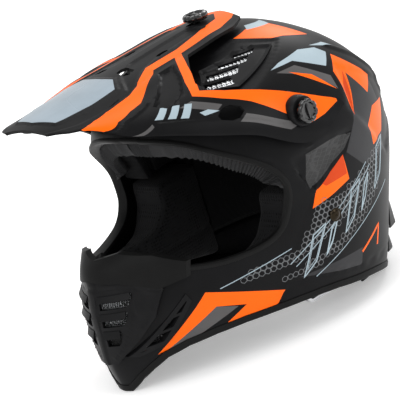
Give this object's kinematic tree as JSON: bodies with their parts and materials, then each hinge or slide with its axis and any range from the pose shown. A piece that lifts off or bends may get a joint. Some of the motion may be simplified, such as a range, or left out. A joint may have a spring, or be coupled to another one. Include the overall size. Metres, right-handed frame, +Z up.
{
  "type": "motocross helmet",
  "caption": "Full-face off-road helmet with open eye port, long chin bar, tilting peak on side screws, vents, padded lining and a double D-ring strap.",
  "frame": {"origin": "bottom centre of the bounding box, on the plane that the lower rim stands on", "axes": "+Z up, -Y towards the front of the helmet (peak and chin bar), +X towards the wearer's left"},
  "size_m": [0.2668, 0.3279, 0.2582],
  "materials": {
    "shell_plastic": "satin lacquer with orange, grey and white graphics",
    "peak_plastic": "satin, with orange and grey graphics",
    "vent_plastic": "fine moulded grain",
    "vent_mesh": "woven wire",
    "open_foam": "open-cell foam",
    "trim_rubber": "soft matte",
    "impact_foam": "moulded bead foam",
    "liner_fabric": "brushed and mesh cloth over foam",
    "screw_plastic": "glossy moulding",
    "insert_brass": "machined",
    "webbing": "woven polyester",
    "ring_steel": "bright plated",
    "rivet_steel": "black plated"
  },
  "bodies": {
    "helmet": {"shell": "shell_plastic", "mouthpiece": "vent_plastic", "nose_guard": "trim_rubber", "rear_fins": "vent_plastic", "chin_vent_left": "vent_plastic", "chin_vent_right": "vent_plastic", "forehead_vent_left": "vent_plastic", "forehead_vent_right": "vent_plastic", "mouth_mesh": "vent_mesh", "chin_vent_mesh_left": "vent_mesh", "chin_vent_mesh_right": "vent_mesh", "forehead_vent_mesh_left": "vent_mesh", "forehead_vent_mesh_right": "vent_mesh", "mouth_filter_foam": "open_foam", "eyeport_trim": "trim_rubber", "base_trim": "trim_rubber", "crown_foam": "impact_foam", "chin_foam": "impact_foam", "comfort_liner": "liner_fabric", "brow_pad": "liner_fabric", "neck_roll": "liner_fabric", "cheek_pad_left": "liner_fabric", "cheek_pad_right": "liner_fabric", "top_washer": "trim_rubber", "screw_inserts": "insert_brass", "strap_short": "webbing", "strap_long": "webbing", "strap_snap": "ring_steel", "strap_rivets": "rivet_steel"},
    "peak": {"peak": "peak_plastic", "side_washers": "trim_rubber"},
    "screw_left": {"peak_screw_left": "screw_plastic"},
    "screw_right": {"peak_screw_right": "screw_plastic"},
    "screw_top": {"peak_screw_top": "screw_plastic"},
    "ring_inner": {"d_ring_inner": "ring_steel"},
    "ring_outer": {"d_ring_outer": "ring_steel"}
  },
  "joints": [
    {"name": "peak_tilt", "type": "hinge", "parent": "helmet", "child": "peak", "pos_m": [0, 0.0055, 0.1815], "axis": [1, 0, 0], "range_deg": [-4, 2]},
    {"name": "screw_left_turn", "type": "hinge", "parent": "helmet", "child": "screw_left", "pos_m": [0.125, 0.0055, 0.1815], "axis": [1, 0, 0], "continuous": true},
    {"name": "screw_right_turn", "type": "hinge", "parent": "helmet", "child": "screw_right", "pos_m": [-0.125, 0.0055, 0.1815], "axis": [-1, 0, 0], "continuous": true},
    {"name": "screw_top_turn", "type": "hinge", "parent": "helmet", "child": "screw_top", "pos_m": [0, 0.03, 0.25], "axis": [0, 0, 1], "continuous": true},
    {"name": "ring_inner_swing", "type": "hinge", "parent": "helmet", "child": "ring_inner", "pos_m": [0.0704, 0.013, 0.028], "axis": [0, 1, 0], "range_deg": [0, 60]},
    {"name": "ring_outer_swing", "type": "hinge", "parent": "helmet", "child": "ring_outer", "pos_m": [0.0736, 0.013, 0.028], "axis": [0, 1, 0], "range_deg": [-35, 0]}
  ]
}
